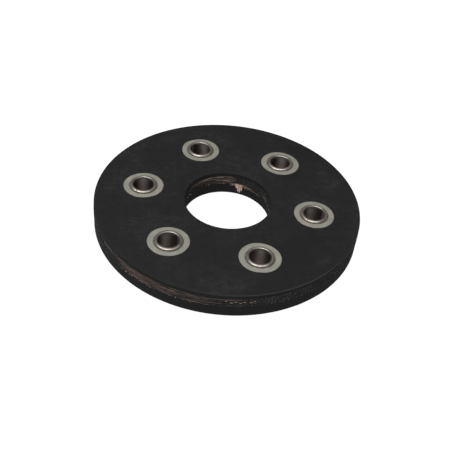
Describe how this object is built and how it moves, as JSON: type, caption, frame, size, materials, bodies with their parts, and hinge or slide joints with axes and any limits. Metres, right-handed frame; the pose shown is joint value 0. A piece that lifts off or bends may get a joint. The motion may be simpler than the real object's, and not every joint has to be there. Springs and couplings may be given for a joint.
{
  "type": "flexible disc coupling",
  "caption": "Flexible shaft coupling disc: a cord-reinforced rubber ring with steel-sleeved bolt holes, each sleeve rolled over a washer let in flush.",
  "frame": {"origin": "on the disc's axis, in the plane of the lower sleeve lips, on which the disc lies", "axes": "+Z along the disc's axis, from the thick lower cover to the thin upper cover; +X from the axis to the middle of sleeve 1"},
  "size_m": [0.13, 0.13, 0.0145],
  "materials": {
    "cover_rubber": "matte",
    "cord_ply": "matte",
    "sleeve_steel": "satin",
    "washer_zinc": "matte"
  },
  "bodies": {
    "root": {"upper_cover": "cover_rubber", "cord_ply_4": "cord_ply", "cord_ply_3": "cord_ply", "cord_ply_2": "cord_ply", "cord_ply_1": "cord_ply", "lower_cover": "cover_rubber", "sleeve_1": "sleeve_steel", "upper_washer_1": "washer_zinc", "lower_washer_1": "washer_zinc", "sleeve_2": "sleeve_steel", "upper_washer_2": "washer_zinc", "lower_washer_2": "washer_zinc", "sleeve_3": "sleeve_steel", "upper_washer_3": "washer_zinc", "lower_washer_3": "washer_zinc", "sleeve_4": "sleeve_steel", "upper_washer_4": "washer_zinc", "lower_washer_4": "washer_zinc", "sleeve_5": "sleeve_steel", "upper_washer_5": "washer_zinc", "lower_washer_5": "washer_zinc", "sleeve_6": "sleeve_steel", "upper_washer_6": "washer_zinc", "lower_washer_6": "washer_zinc"}
  },
  "joints": []
}
